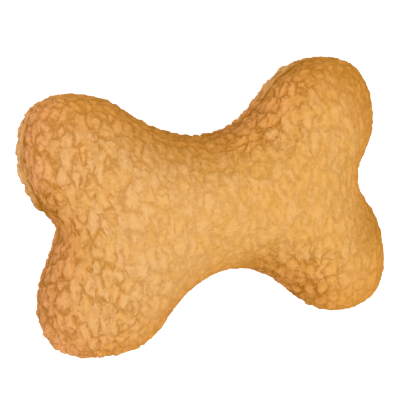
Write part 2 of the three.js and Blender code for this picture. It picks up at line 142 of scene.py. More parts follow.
# Where the left end's notch folds into a sharp V, given as the leans are
FOLDS = (
    ((-0.845, 0.01), (0.0034, 0.0016), 0.0042),
    ((-0.870, 0.12), (-0.0016, -0.0006), 0.0045),
    ((-0.875, -0.09), (-0.0014, 0.0), 0.0045),
)

# Where the seam is drawn in over the back, so that the back shows beside it, given as the leans are
TUCKS = (
    ((-0.97, 0.62), (0.0042, 0.0), 0.016),
    ((-0.93, 0.25), (0.0030, 0.0015), 0.012),
    ((0.50, 0.90), (0.0012, -0.0020), 0.014),
)

# Lumps of the stuffing under the front: crossed waves with a direction in degrees and a spacing
LUMP_WAVES = ((20, 0.027), (85, 0.031), (145, 0.024))

# Dips of the front where a notch draws it in: place as for the leans, depth and reach
DIPS = (
    ((-0.77, -0.07), 0.0025, 0.009),
    ((0.79, 0.04), 0.0015, 0.009),
)

# Where the cover is slack and its pile cracks open: place in plan, reach and share
SLACK_SPOTS = (
    ((-0.092, 0.032), 0.035, 1.0),
    ((-0.086, -0.046), 0.028, 1.0),
    ((0.030, 0.055), 0.026, 1.0),
    ((0.040, -0.048), 0.018, 1.0),
)

# Spots of painted shade, where the pile is darkened towards the roots' colour: place in plan, reach and share
PAINTED_SHADE_SPOTS = (
    ((0.021, -0.033), 0.009, 0.6),
    ((0.035, -0.047), 0.010, 0.4),
    ((0.047, -0.059), 0.009, 0.5),
    ((0.087, -0.023), 0.011, 0.7),
    ((0.090, 0.039), 0.008, 0.4),
    ((0.084, 0.061), 0.010, 0.7),
    ((0.062, 0.067), 0.010, 0.5),
    ((0.028, 0.040), 0.010, 0.2),
    ((0.006, 0.032), 0.011, 0.5),
    ((-0.015, 0.036), 0.012, 0.6),
    ((-0.036, 0.047), 0.012, 0.6),
    ((-0.056, 0.064), 0.010, 0.4),
    ((-0.096, 0.055), 0.012, 0.1),
    ((-0.091, 0.012), 0.009, 0.9),
    ((-0.097, -0.028), 0.012, 0.3),
)

# Slackness at which the pile is as open as it gets
FULLY_SLACK = 0.9

# How the clumps wander off a plain grid, slowly and raggedly: waves per millimetre and reach
SWAY = (0.10, 0.0060)
RAGGED = (0.40, 0.0018)

# Cracks round the clumps and round the curls: waves per millimetre, noise at which they are shut and wide,
# gaps there in shares of a cell, gaps at which they begin to show and are full, and depth
PLATE_CRACKS = {
    "waves": 0.16, "noise": (0.38, 0.66), "gaps": (0.004, 0.20), "shown": (0.01, 0.08), "depth": 1.0,
}
CURL_CRACKS = {
    "waves": 0.24, "noise": (0.46, 0.70), "gaps": (0.001, 0.22), "shown": (0.01, 0.11), "depth": 0.6,
}

# Height of the pile: shares of the clumps, the curls, each clump's own level, the ground and the cracks
CLUMP_SHARE = 0.46
CURL_SHARE = 0.24
LEVEL_SHARE = 0.10
GROUND_SHARE = 0.20
CRACK_SHARE = 0.30

# Distance from its border, in shares of a cell, at which a clump or a curl is at its full height
ROUNDING = 0.42

# Height of the pile that stays at the cover's surface
PILE_LEVEL = 0.82

# Waves per millimetre of the lint on the curls, and of the fuzz, the grain and the tufts in their colour
LINT_WAVES = 0.45
FUZZ_WAVES = 0.9
GRAIN_WAVES = 0.42
TUFT_WAVES = 0.17

# Distances from the seam between which the pile comes to stand free, the painted shade of the groove and of
# the rim fades, and the painted shade of the flanks fades
FREE_PILE = (0.0003, 0.0040)
GROOVE = (0.0005, 0.0020)
RIM = (0.0, 0.012)
FLANK_SHADE = (0.015, 0.031)

# Heights over the seam between which the painted light on the back's lip fades
LIP_LIGHT = (-0.0025, -0.0010)

# Places along the toy between which the peach colour of the left end's tips and the rosy colour of its
# painted flank shade fade
PEACH = (-0.08, 0.06)
ROSY = (-0.095, -0.05)

# Machine stitches: length in shares of the pitch, dip of the ends in shares of the arch
STITCH_SPAN = 0.94
STITCH_DIP = 0.8

# Depth of the hand stitches in shares of the seam's depth in its groove
HAND_STITCH_DEPTH = 0.45

# Wads that are only baked in place, as the front is, wads that the press pushes down whole, and wads that
# stay put
SQUEEZED_WADS = (
    "fill_knob_left_near", "fill_knob_left_far", "fill_knob_right_near", "fill_knob_right_far",
    "fill_shaft_left", "fill_shaft_right",
)
PUSHED_WADS = ("fill_over_squeaker",)
STILL_WADS = ("fill_under_squeaker",)

# Hollows of a wad, broad ones and tufts: waves per millimetre and share of the depth
HOLLOW_WAVES = ((0.07, 0.65), (0.25, 0.35))

# Smoothing steps of a wad, and the distance under which its solid's corners are merged
WAD_SMOOTHING = 6
MERGE_DISTANCE = 1e-6

# Bulb: how square its profile is, its steps, and a ring on its neck in shares of the neck's height
BULB_SQUARENESS = 0.82
BULB_STEPS = 36
NECK_RING = 0.4

# Turns of the bulb's points at a parting line and between the two, and reach of a line's ridge, in degrees
PARTING_TURNS = (-2.4, -1.2, -0.5, 0.0, 0.5, 1.2, 2.4)
SIDE_TURNS = range(6, 175, 4)
RIDGE_REACH = 0.9

# Moulded plastic: shade of its flow marks, and roughness of its grain, low and high, both as shares
FLOW_SHADE = 0.88
GRAIN_GLOSS = (0.8, 1.25)


def number(label, description, default, **kind):
    return bpy.props.FloatProperty(name=label, description=description, default=default, **kind)


def numbers(label, description, default, **kind):
    return bpy.props.FloatVectorProperty(
        name=label, description=description, default=default, size=len(default), **kind
    )


def size(label, description, default):
    return number(label, description, default, unit="LENGTH")


def angle(label, description, default):
    return number(label, description, default, subtype="ANGLE")


def colour(label, description, default):
    return numbers(label, description, default, subtype="COLOR", min=0.0, max=1.0)


class CoverSizes(bpy.types.PropertyGroup):
    """Sizes of the sewn cover"""

    length: size("Length", "Over the knobs", cad_high.x - cad_low.x)
    width: size("Width", "Over the knobs", cad_high.y - cad_low.y)
    thickness: size("Thickness", "As the toy lies", cad_high.z - cad_low.z)
    knob_radius: size("Knob radius", "Of each knob in plan", 0.0345)
    waist: size("Waist", "Width at the middle of the shaft", 0.080)
    notch_depth: size("Notch depth", "Dip between the knobs of an end", 0.015)
    loft: size("Loft", "Reach of the stuffing's push", 0.022)
    flat_depth: size("Flat depth", "How far the underside is flattened", 0.001)
    lump_depth: size("Lump depth", "From the lumps of the stuffing to the dips between them", 0.0012)
    swell: size("Swell", "Most that the stuffing's pressure moves the cover", 0.004)
    backing: size("Backing", "From the cover's surface to its inner face", 0.003)
    seam_roll: size("Seam roll", "From the seam to the widest line of a panel", 0.0040)
    seam_tuck: size("Seam tuck", "Depth of the seam in its groove", 0.0038)
    allowance: size("Allowance", "Width of the seam allowance inside", 0.006)
    allowance_thickness: size("Allowance thickness", "Fleece pressed flat", 0.002)


class FleeceLook(bpy.types.PropertyGroup):
    """Pile and colours of the fleece"""

    plate_width: size("Plate width", "Across a clump of curls", 0.0056)
    plate_length: size("Plate length", "Along a clump of curls", 0.0115)
    curl_width: size("Curl width", "Across a curl", 0.0034)
    curl_length: size("Curl length", "Along a curl", 0.0056)
    pile_height: size("Pile height", "From the cracks to the tips", 0.0024)
    lint_height: size("Lint height", "From the low to the high fibres on a curl", 0.0014)
    tip_colour: colour("Tips", "Of the curls' tips at the right end", (0.88, 0.458, 0.116))
    peach_colour: colour("Peach", "Of the curls' tips at the left end", (0.88, 0.492, 0.190))
    # Painted shade: a darker, deeper orange for the curls on the flanks near the seam, where they are lit
    # less
    flank_shade_colour: colour("Flanks", "Of the curls on the flanks at the right end", (0.88, 0.372, 0.056))
    # Painted shade on the flanks too, rosy at the left end and where the cover is slack
    rosy_flank_shade_colour: colour("Rosy", "Of the curls on slack flanks and at the left end", (0.87, 0.385, 0.140))
    # Painted light: a lighter colour for the back's curls beside a tucked seam, which stand in shade
    lip_light_colour: colour("Lip", "Of the back's curls beside the seam", (0.94, 0.53, 0.21))
    # Painted shade: the colour that the pile is darkened towards in its cracks, low between its curls, in the
    # seam's groove, along the seam and at the painted shade spots; the backing's knit rows use it too
    root_shade_colour: colour("Roots", "Deep in the cracks of the pile", (0.48, 0.185, 0.012))
    backing_colour: colour("Backing", "Of the knitted backing", (0.78, 0.47, 0.20))


class SewingLook(bpy.types.PropertyGroup):
    """Threads of the seam"""

    thread: size("Thread", "Diameter of the thread", 0.0006)
    stitch: size("Stitch", "Length of a machine stitch", 0.0032)
    rung: size("Rung", "Pitch of the hand stitches", 0.004)
    seam_line: size("Seam line", "From the panel's edge to the machine stitches", 0.006)
    opening: size("Opening", "Part of the seam that is closed by hand", 0.052)
    thread_colour: colour("Thread", "Of the spun polyester thread", (0.48, 0.19, 0.03))


class FillingLook(bpy.types.PropertyGroup):
    """Stuffing and squeaker"""

    wad_detail: size("Wad detail", "Mesh size of a wad of fibre", 0.002)
    wad_hollows: size("Wad hollows", "Depth of the hollows in a wad", 0.0016)
    fibre_colour: colour("Fibre", "Of the polyester fibre", (0.88, 0.87, 0.83))
    bulb_wall: size("Bulb wall", "Thickness of the blown bulb", 0.001)
    bulb_ridge: size("Bulb ridge", "Height of the bulb's parting lines", 0.00022)
    neck: size("Neck", "Length of the bulb's neck", 0.003)
    neck_radius: size("Neck radius", "Outside of the bulb's neck", 0.0058)
    bulb_colour: colour("Bulb", "Of the soft plastic bulb", (0.90, 0.89, 0.85))
    whistle_colour: colour("Whistle", "Of the hard plastic whistle", (0.92, 0.92, 0.92))
    reed_colour: colour("Reed", "Of the reed's film", (0.78, 0.80, 0.83))


class StageLook(bpy.types.PropertyGroup):
    """Camera, floor and light of the photograph"""

    distance: size("Distance", "From the toy's middle to the camera", 0.604)
    tilt: angle("Tilt", "Of the view off the upright", 0.313)
    bearing: angle("Bearing", "Of the camera round the toy, from +X", 2.551)
    roll: angle("Roll", "Of the toy in the picture", 0.131)
    lens: number("Lens", "Focal length", 100.0, unit="CAMERA")
    sensor: number("Sensor", "Width of the camera's sensor", 36.0, unit="CAMERA")
    nearest: size("Nearest", "From the camera to the nearest thing it shows", 0.01)
    shift: numbers("Shift", "Of the picture, in picture widths", (-0.0163, 0.0146))
    floor: size("Floor size", "Length of the floor's sides", 6.0)
    floor_colour: colour("Floor", "Of the floor under the lamp", (0.9, 0.9, 0.9))
    glow: number("Glow", "White that the floor adds for the camera", 0.65)
    sky: number("Sky", "Light from all round", 0.48)
    lamp: number("Lamp", "Power of the overhead lamp", 12.6, unit="POWER")
    lamp_size: size("Lamp size", "Length of the lamp's sides", 1.2)
    lamp_place: numbers("Lamp place", "Middle of the lamp", (-0.22, 0.05, 1.40), subtype="TRANSLATION")


class Wiring:
    """Adds nodes to a tree and links them"""

    def __init__(self, tree):
        self.tree = tree

    def node(self, kind, inputs=None, **settings):
        made = self.tree.nodes.new(kind)
        for name, value in settings.items():
            setattr(made, name, value)
        for key, value in (inputs or {}).items():
            socket = made.inputs[key]
            if isinstance(value, bpy.types.NodeSocket):
                self.tree.links.new(value, socket)
            else:
                socket.default_value = value
        return made

    def result(self, kind, inputs=None, **settings):
        """First output of a new node"""
        return self.node(kind, inputs, **settings).outputs[0]

    def math(self, operation, first, second=0.0):
        return self.result("ShaderNodeMath", {0: first, 1: second}, operation=operation)

    def times(self, first, second):
        return self.math("MULTIPLY", first, second)

    def less(self, first, second):
        return self.math("SUBTRACT", first, second)

    def most(self, first, second):
        return self.math("MAXIMUM", first, second)

    def total(self, first, *others):
        for other in others:
            first = self.math("ADD", first, other)
        return first

    def clamped(self, value):
        return self.result("ShaderNodeClamp", {"Value": value})

    def smooth(self, value, low, high, to_low=0.0, to_high=1.0):
        ends = {"From Min": low, "From Max": high, "To Min": to_low, "To Max": to_high}
        return self.result("ShaderNodeMapRange", {"Value": value, **ends}, interpolation_type="SMOOTHSTEP")

    def vector(self, operation, first, second):
        return self.result("ShaderNodeVectorMath", {0: first, 1: second}, operation=operation)

    def scaled(self, vector, factor):
        return self.result("ShaderNodeVectorMath", {0: vector, "Scale": factor}, operation="SCALE")

    def parts(self, vector):
        return self.node("ShaderNodeSeparateXYZ", {"Vector": vector}).outputs

    def joined(self, x, y, z):
        return self.result("ShaderNodeCombineXYZ", {"X": x, "Y": y, "Z": z})

    def noise(self, vector, scale, detail=2.0, roughness=0.5):
        waves = {"Scale": scale, "Detail": detail, "Roughness": roughness}
        return self.node("ShaderNodeTexNoise", {"Vector": vector, **waves}).outputs

    def edges(self, vector):
        """Distance to the nearest border between cells of size 1"""
        cells = {"Vector": vector, "Scale": 1.0}
        return self.node("ShaderNodeTexVoronoi", cells, feature="DISTANCE_TO_EDGE").outputs["Distance"]

    def cells(self, vector):
        """A random value for each cell of size 1"""
        cells = self.node("ShaderNodeTexVoronoi", {"Vector": vector, "Scale": 1.0})
        return self.parts(cells.outputs["Color"])[0]

    def attribute(self, name):
        return self.node("ShaderNodeAttribute", attribute_name=name).outputs

    def object_place(self):
        return self.node("ShaderNodeTexCoord").outputs["Object"]

    def mix(self, factor, first, second):
        """Blend of two colours, each a socket or its three parts"""
        inputs = {0: factor}
        # The node's inputs 6 and 7 and its output 2 are its colours
        for key, tint in ((6, first), (7, second)):
            inputs[key] = tint if isinstance(tint, bpy.types.NodeSocket) else (*tint, 1.0)
        return self.node("ShaderNodeMix", inputs, data_type="RGBA").outputs[2]

    def surface(self, base, roughness, relief, gloss, strength, depth):
        """Ends a material with a coloured surface and the bumps of a relief"""
        bump = self.result("ShaderNodeBump", {"Height": relief, "Strength": strength, "Distance": depth})
        finish = {"Base Color": base, "Roughness": roughness, "Specular IOR Level": gloss, "Normal": bump}
        shader = self.result("ShaderNodeBsdfPrincipled", finish)
        self.node("ShaderNodeOutputMaterial", {"Surface": shader})

    def finish(self, geometry, material):
        """Ends a Geometry Nodes tree"""
        real = self.result("GeometryNodeRealizeInstances", {"Geometry": geometry})
        dressed = self.result("GeometryNodeSetMaterial", {"Geometry": real, "Material": material})
        self.node("NodeGroupOutput", {0: dressed})


def new_tree(name, kind, given, returned):
    """New node tree with named sockets going in and coming out, each with its type"""
    tree = bpy.data.node_groups.new(name, kind)
    for side, sockets in (("INPUT", given), ("OUTPUT", returned)):
        for label, socket in sockets:
            tree.interface.new_socket(label, in_out=side, socket_type="NodeSocket" + socket)
    w = Wiring(tree)
    return tree, w, w.node("NodeGroupInput").outputs


def geometry_tree(name, sizes):
    """New Geometry Nodes tree with a mesh, named sizes and a material going in"""
    given = [("Mesh", "Geometry"), *((label, "Float") for label in sizes), ("Material", "Material")]
    return new_tree(name, "GeometryNodeTree", given, [("Mesh", "Geometry")])


def applied(piece, context):
    """The piece with its modifiers turned into a plain mesh"""
    context.view_layer.update()
    result = bpy.data.meshes.new_from_object(piece.evaluated_get(context.evaluated_depsgraph_get()))
    old = piece.data
    piece.modifiers.clear()
    piece.data = result
    bpy.data.meshes.remove(old)
    result.name = piece.name
    return piece


def run_tree(piece, tree, values, context):
    """Puts a Geometry Nodes tree on a piece with its inputs and applies it"""
    modifier = piece.modifiers.new(tree.name, "NODES")
    modifier.node_group = tree
    for item in tree.interface.items_tree:
        if item.item_type == "SOCKET" and item.in_out == "INPUT" and item.name in values:
            modifier[item.identifier] = values[item.name]
    return applied(piece, context)


def mesh_piece(name, points, faces, context, edges=()):
    mesh = bpy.data.meshes.new(name)
    mesh.from_pydata([tuple(p) for p in points], edges, [tuple(int(i) for i in f) for f in faces])
    mesh.update()
    made = bpy.data.objects.new(name, mesh)
    context.scene.collection.objects.link(made)
    return made


def points_of(mesh):
    points = np.empty(len(mesh.vertices) * 3)
    mesh.vertices.foreach_get("co", points)
    return points.reshape(-1, 3)


def set_points(mesh, points):
    mesh.vertices.foreach_set("co", np.ascontiguousarray(points, dtype=np.float32).ravel())
    mesh.update()


# Plan of a panel


def arc(centre, radius, start, end, count=240):
    turns = np.linspace(start, end, count)
    return np.stack([centre[0] + radius * np.cos(turns), centre[1] + radius * np.sin(turns)], axis=1)


def along(path, places):
    """Points of a path at places from 0 to 1 of its length"""
    steps = np.linalg.norm(np.diff(path, axis=0), axis=1)
    reach = np.concatenate([[0.0], np.cumsum(steps)]) / steps.sum()
    return np.stack([np.interp(places, reach, path[:, k]) for k in range(path.shape[1])], axis=1)


def outline_sides(sizes):
    """The far long side from left to right and the right end from near to far, each of three tangent arcs"""
    radius = sizes.knob_radius
    knob_x = sizes.length / 2 - radius
    knob_y = sizes.width / 2 - radius
    waist = sizes.waist / 2
    reach = sizes.length / 2 - sizes.notch_depth - knob_x
    waist_radius = (knob_x**2 + (waist - knob_y) ** 2 - radius**2) / (2 * (radius + knob_y - waist))
    notch_radius = (reach**2 + knob_y**2 - radius**2) / (2 * (radius - reach))
    waist_y = waist + waist_radius
    notch_x = knob_x + reach + notch_radius
    tip = math.pi / 4
    turn = math.atan2(waist_y - knob_y, knob_x)
    far = [
        arc((-knob_x, knob_y), radius, math.pi - tip, turn),
        arc((0.0, waist_y), waist_radius, turn - math.pi, -turn),
        arc((knob_x, knob_y), radius, math.pi - turn, tip),
    ]
    lean = math.atan2(knob_y, notch_x - knob_x)
    right = [
        arc((knob_x, -knob_y), radius, -tip, lean),
        arc((notch_x, 0.0), notch_radius, lean + math.pi, math.pi - lean),
        arc((knob_x, knob_y), radius, -lean, tip),
    ]
    return np.concatenate(far), np.concatenate(right)


def eased(count):
    return (1 - np.cos(np.linspace(0, math.pi, count + 1))) / 2


def side_places(count):
    return CROWDING * eased(count) + (1 - CROWDING) * np.linspace(0, 1, count + 1)


def felt(points, place, reach):
    """How much of something at a place is felt at each point, from 0 to 1"""
    away = points - place
    return np.exp(-(away**2).sum(axis=1) / (2 * reach**2))


def on_cover(place, sizes):
    """A place that is given in shares of the half length and the half width"""
    return np.multiply(place, (sizes.length / 2, sizes.width / 2))


def pushed(plan, pushes, sizes):
    """The plan with each push added, as far as it reaches"""
    moved = plan.copy()
    for place, push, reach in pushes:
        moved += felt(plan, on_cover(place, sizes), reach)[:, None] * push
    return moved


def leaned(plan, sizes):
    """The plan moved by the lean of the stuffing, then fitted to the length and the width"""
    moved = pushed(plan, LEANS + FOLDS, sizes)
    low = moved.min(axis=0)
    high = moved.max(axis=0)
    return (moved - (low + high) / 2) * (sizes.length, sizes.width) / (high - low)


def panel_plan(sizes):
    """Grid of points stretched between the four sides of the outline"""
    far_path, right_path = outline_sides(sizes)
    far = along(far_path, side_places(CELLS_X))
    right = along(right_path, side_places(CELLS_Y))
    near = far * [1, -1]
    left = right * [-1, 1]
    u = eased(CELLS_X)[:, None, None]
    v = eased(CELLS_Y)[None, :, None]
    sides = (1 - v) * near[:, None] + v * far[:, None] + (1 - u) * left[None] + u * right[None]
    corners = (1 - u) * (1 - v) * near[0] + u * (1 - v) * near[-1] + (1 - u) * v * far[0] + u * v * far[-1]
    return leaned((sides - corners).reshape(-1, 2), sizes)


def front_dip(plan, sizes):
    """Depth of the lumps and dips of the front"""
    depth = np.zeros(len(plan))
    for turn, spacing in LUMP_WAVES:
        across = plan @ [math.cos(math.radians(turn)), math.sin(math.radians(turn))]
        wave = (1 - np.cos(2 * math.pi * across / spacing)) / 2
        depth += sizes.lump_depth * wave / len(LUMP_WAVES)
    for place, deepest, reach in DIPS:
        depth += deepest * felt(plan, on_cover(place, sizes), reach)
    return depth


def grid_quads():
    across = CELLS_Y + 1
    corner = (np.arange(CELLS_X)[:, None] * across + np.arange(CELLS_Y)[None, :]).ravel()
    return np.stack([corner, corner + across, corner + across + 1, corner + 1], axis=1)


def grid_edge():
    """Indices round the grid's edge, anticlockwise from the near left tip"""
    across = CELLS_Y + 1
    near = np.arange(CELLS_X) * across
    right = CELLS_X * across + np.arange(CELLS_Y)
    far = np.arange(CELLS_X, 0, -1) * across + CELLS_Y
    left = np.arange(CELLS_Y, 0, -1)
    return np.concatenate([near, right, far, left])


def unit(vectors):
    return vectors / np.linalg.norm(vectors, axis=1)[:, None]


def inset(loop, distance):
    """A closed loop moved inwards by a distance"""
    before = loop - np.roll(loop, 1, axis=0)
    after = np.roll(loop, -1, axis=0) - loop
    tangent = unit(before) + unit(after)
    return loop + distance * unit(np.stack([-tangent[:, 1], tangent[:, 0]], axis=1))


def raised(plan, height):
    """Points of a plan, all at one height"""
    return np.column_stack([plan, np.full(len(plan), height)])


def panel_rise(plan, loft):
    """Rise of a panel from 0 at its edge to 1: an elastic sheet pushed up by the stuffing"""
    quads = grid_quads()
    halves = ([0, 1, 2], [0, 2, 3], [0, 1, 3], [1, 2, 3])
    triangles = np.concatenate([quads[:, half] for half in halves])
    count = len(plan)
    pulls = np.zeros((count, count))
    areas = np.zeros(count)
    # Each cell is cut both ways, so that every triangle counts half
    for turn in range(3):
        at, after, last = (triangles[:, (turn + k) % 3] for k in range(3))
        first = plan[after] - plan[at]
        second = plan[last] - plan[at]
        double_area = first[:, 0] * second[:, 1] - first[:, 1] * second[:, 0]
        pull = (first * second).sum(axis=1) / double_area / 4
        np.add.at(pulls, (after, last), pull)
        np.add.at(pulls, (last, after), pull)
        np.add.at(areas, at, double_area / 12)
    stiffness = np.diag(pulls.sum(axis=1) + areas / loft**2) - pulls
    free = np.setdiff1d(np.arange(count), grid_edge())
    push = np.zeros(count)
    push[free] = np.linalg.solve(stiffness[np.ix_(free, free)], areas[free])
    return np.sqrt(np.maximum(push, 0) / push.max())


# Cover


def cages(sizes):
    """Points of the front's and the back's cage: a dome's grid and the rings that roll into the seam"""
    plan = panel_plan(sizes)
    crown = (sizes.thickness + sizes.flat_depth) / 2
    rise = panel_rise(plan, sizes.loft)
    lumpy = rise * (1 - front_dip(plan, sizes) / crown)
    near_seam = (1 - rise)[:, None] ** 2
    front_plan = plan + near_seam * (pushed(plan, TUCKS, sizes) - plan)
    loop = front_plan[grid_edge()]
    rings = []
    for turn in np.radians(ROLL_TURNS):
        height = SEAM_GAP / 2 + (sizes.seam_roll - SEAM_GAP / 2) * (1 - math.sin(turn))
        rings.append(raised(inset(loop, sizes.seam_tuck * (1 - math.cos(turn))), height))
    made = []
    for places, heights in ((front_plan, lumpy / lumpy.max()), (plan, rise)):
        dome = np.column_stack([places, sizes.seam_roll + (crown - sizes.seam_roll) * heights])
        made.append(np.concatenate([dome, *rings]))
    return made[0], made[1] * [1, 1, -1]


def ring_faces(upper, lower):
    """Quads between two loops of the same count"""
    after = np.roll(np.arange(len(upper)), -1)
    return [(upper[k], lower[k], lower[after[k]], upper[after[k]]) for k in range(len(upper))]


def cage_faces():
    faces = [tuple(quad) for quad in grid_quads()]
    edge = grid_edge()
    count = len(edge)
    loops = [edge] + [DOME_POINTS + k * count + np.arange(count) for k in range(len(ROLL_TURNS))]
    for upper, lower in zip(loops, loops[1:]):
        faces += ring_faces(upper, lower)
    return faces


def swelled(points, faces, seam, context):
    """Points of a closed cover after pressure from inside, with its seam held"""
    cover = mesh_piece("cover_trial", points, faces, context)
    held = cover.vertex_groups.new(name="seam")
    held.add(list(seam), 1.0, "REPLACE")
    cloth = cover.modifiers.new("Cloth", "CLOTH")
    for name, value in CLOTH.items():
        setattr(cloth.settings, name, value)
    cloth.settings.vertex_group_mass = held.name
    cloth.settings.effector_weights.gravity = 0.0
    cloth.collision_settings.use_collision = False
    cloth.point_cache.frame_start = 1
    cloth.point_cache.frame_end = SWELL_FRAMES
    for step in range(1, SWELL_FRAMES + 1):
        context.scene.frame_set(step)
    applied(cover, context)
    result = points_of(cover.data)
    context.scene.frame_set(1)
    bpy.data.objects.remove(cover)
    return result


def puffed_cages(sizes, context):
    """Cages of the front and the back after the stuffing's pressure has swelled them"""
    front, back = cages(sizes)
    count = len(front)
    seam = len(grid_edge())
    start = np.concatenate([front, back[:-seam]]) * [1, 1, START_HEIGHT]
    joined = np.concatenate([np.arange(count, 2 * count - seam), np.arange(count - seam, count)])
    faces = cage_faces()
    faces += [tuple(joined[i] for i in reversed(face)) for face in faces]
    move = swelled(start, faces, range(count - seam, count), context) - start
    reach = np.linalg.norm(move, axis=1)[:, None]
    ended = start + move * sizes.swell / np.maximum(reach, sizes.swell)
    return ended[:count], ended[joined]


def lining_points(cage, sizes):
    """Inner face of a panel: its dome moved inwards, then the two edges of the seam allowance"""
    dome = cage[:DOME_POINTS]
    quads = grid_quads()
    across = np.cross(dome[quads[:, 2]] - dome[quads[:, 0]], dome[quads[:, 3]] - dome[quads[:, 1]])
    normals = np.zeros_like(dome)
    for k in range(4):
        np.add.at(normals, quads[:, k], across)
    inner = dome - sizes.backing * unit(normals)
    edge = grid_edge()
    loop = dome[edge, :2]
    inner[edge] = raised(inset(loop, LINING_INSET * sizes.backing), LINING_HEIGHT * sizes.seam_roll)
    ends = inset(loop, sizes.seam_tuck + sizes.allowance)
    low = SEAM_GAP / 2
    return np.concatenate([inner, raised(ends, low + sizes.allowance_thickness), raised(ends, low)])


def close_panel(piece, lining, material):
    """Joins the seam allowance and the inner face to the panel, so that it is a closed body"""
    edge = grid_edge()
    count = len(edge)
    over = DOME_POINTS + np.arange(count)
    under = over + count
    faces = [tuple(reversed(quad)) for quad in grid_quads()]
    faces += ring_faces(over, edge) + ring_faces(under, over)
    shell = bmesh.new()
    shell.from_mesh(piece.data)
    seam = [e for e in shell.edges if e.is_boundary]
    corners = [shell.verts.new(tuple(p)) for p in lining]
    for face in faces:
        made = shell.faces.new([corners[i] for i in face])
        made.material_index = BACKING_SLOT
        made.smooth = True
    ends = {corners[i] for i in under}
    rim = [e for e in shell.edges if e.is_boundary and e.verts[0] in ends]
    bridged = bmesh.ops.bridge_loops(shell, edges=seam + rim)
    for made in bridged["faces"]:
        made.material_index = BACKING_SLOT
    bmesh.ops.triangulate(shell, faces=[f for f in bridged["faces"] if len(f.verts) > 4])
    bmesh.ops.recalc_face_normals(shell, faces=shell.faces[:])
    piece.data.materials.append(material)
    shell.to_mesh(piece.data)
    shell.free()
    piece.data.update()


def strayed(w, millimetres, waves, reach):
    """A move that wanders over the cover, half the reach each way"""
    wander = w.noise(millimetres, waves, detail=1.0)["Color"]
    return w.scaled(w.vector("SUBTRACT", wander, (0.5, 0.5, 0.5)), reach)


def by_slack(w, slack, tight, loose):
    """A value that goes from tight to loose as the cover goes slack"""
    return w.smooth(slack, 0.0, FULLY_SLACK, tight, loose)


def cracks(w, millimetres, edge, waves, noise, gaps, shown, depth):
    """Cracks along the borders of cells, wide in some places and shut in others"""
    gap = w.smooth(w.noise(millimetres, waves)["Fac"], *noise, *gaps)
    return w.times(w.smooth(edge, 0.0, gap, depth, 0.0), w.smooth(gap, *shown))


def fleece_pattern(w, place, slack, look):
    """Height of the pile from 0 to 1, the cracks between its clumps and a tone for each clump, at a place"""
    millimetres = w.scaled(place, TO_MILLIMETRES)
    stray = w.vector("ADD", strayed(w, millimetres, *SWAY), strayed(w, millimetres, *RAGGED))
    bent = w.vector("ADD", place, stray)
    plates = w.vector("DIVIDE", bent, (look.plate_width, look.plate_length, look.plate_width))
    curls = w.vector("DIVIDE", bent, (look.curl_width, look.curl_length, look.curl_width))
    plate_edge = w.edges(plates)
    curl_edge = w.edges(curls)
    plate_cracks = cracks(w, millimetres, plate_edge, **PLATE_CRACKS)
    curl_cracks = cracks(w, millimetres, curl_edge, **CURL_CRACKS)
    crack = w.times(w.most(plate_cracks, curl_cracks), by_slack(w, slack, tight=0.17, loose=1.0))
    pillow = w.smooth(plate_edge, 0.0, ROUNDING, 0.0, CLUMP_SHARE)
    bead = w.smooth(curl_edge, 0.0, ROUNDING, 0.0, CURL_SHARE)
    tone = w.cells(plates)
    raised_pile = w.total(pillow, bead, w.times(tone, LEVEL_SHARE), GROUND_SHARE)
    return w.less(raised_pile, w.times(crack, CRACK_SHARE)), crack, tone


def pile_tree(look):
    """Geometry Nodes that raise the clumps and curls of the fleece"""
    tree, w, given = geometry_tree("Fleece pile", ("Pile Height", "Lint Height", "Seam Height"))
    place = w.result("GeometryNodeInputPosition")
    slack = w.result("GeometryNodeInputNamedAttribute", {"Name": "slack"}, data_type="FLOAT")
    height, _, _ = fleece_pattern(w, place, slack, look)
    from_seam = w.math("ABSOLUTE", w.less(w.parts(place)["Z"], given["Seam Height"]))
    clumps = w.times(w.less(height, PILE_LEVEL), given["Pile Height"])
    wander = w.noise(w.scaled(place, TO_MILLIMETRES), LINT_WAVES, detail=1.0)["Fac"]
    lint = w.times(w.less(wander, 0.5), given["Lint Height"])
    lift = w.total(w.times(clumps, by_slack(w, slack, tight=0.45, loose=1.1)), lint)
    lift = w.times(lift, w.smooth(from_seam, *FREE_PILE))
    offset = w.scaled(w.result("GeometryNodeInputNormal"), lift)
    kept = w.result(
        "GeometryNodeStoreNamedAttribute",
        {"Geometry": given["Mesh"], "Name": "cover_place", "Value": place},
        data_type="FLOAT_VECTOR", domain="POINT",
    )
    moved = w.result("GeometryNodeSetPosition", {"Geometry": kept, "Offset": offset})
    w.finish(moved, given["Material"])
    return tree


def store_spots(mesh, name, spots):
    """Stores on each point how near it is to a set of spots, from 0 to 1"""
    plan = points_of(mesh)[:, :2]
    near = np.zeros(len(plan))
    for place, reach, share in spots:
        near += share * felt(plan, place, reach)
    stored = mesh.attributes.new(name, "FLOAT", "POINT")
    stored.data.foreach_set("value", np.clip(near, 0, 1).astype(np.float32))


def press_with_front(piece):
    """The piece stays where it is: its place is baked into its mesh"""
    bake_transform(piece)


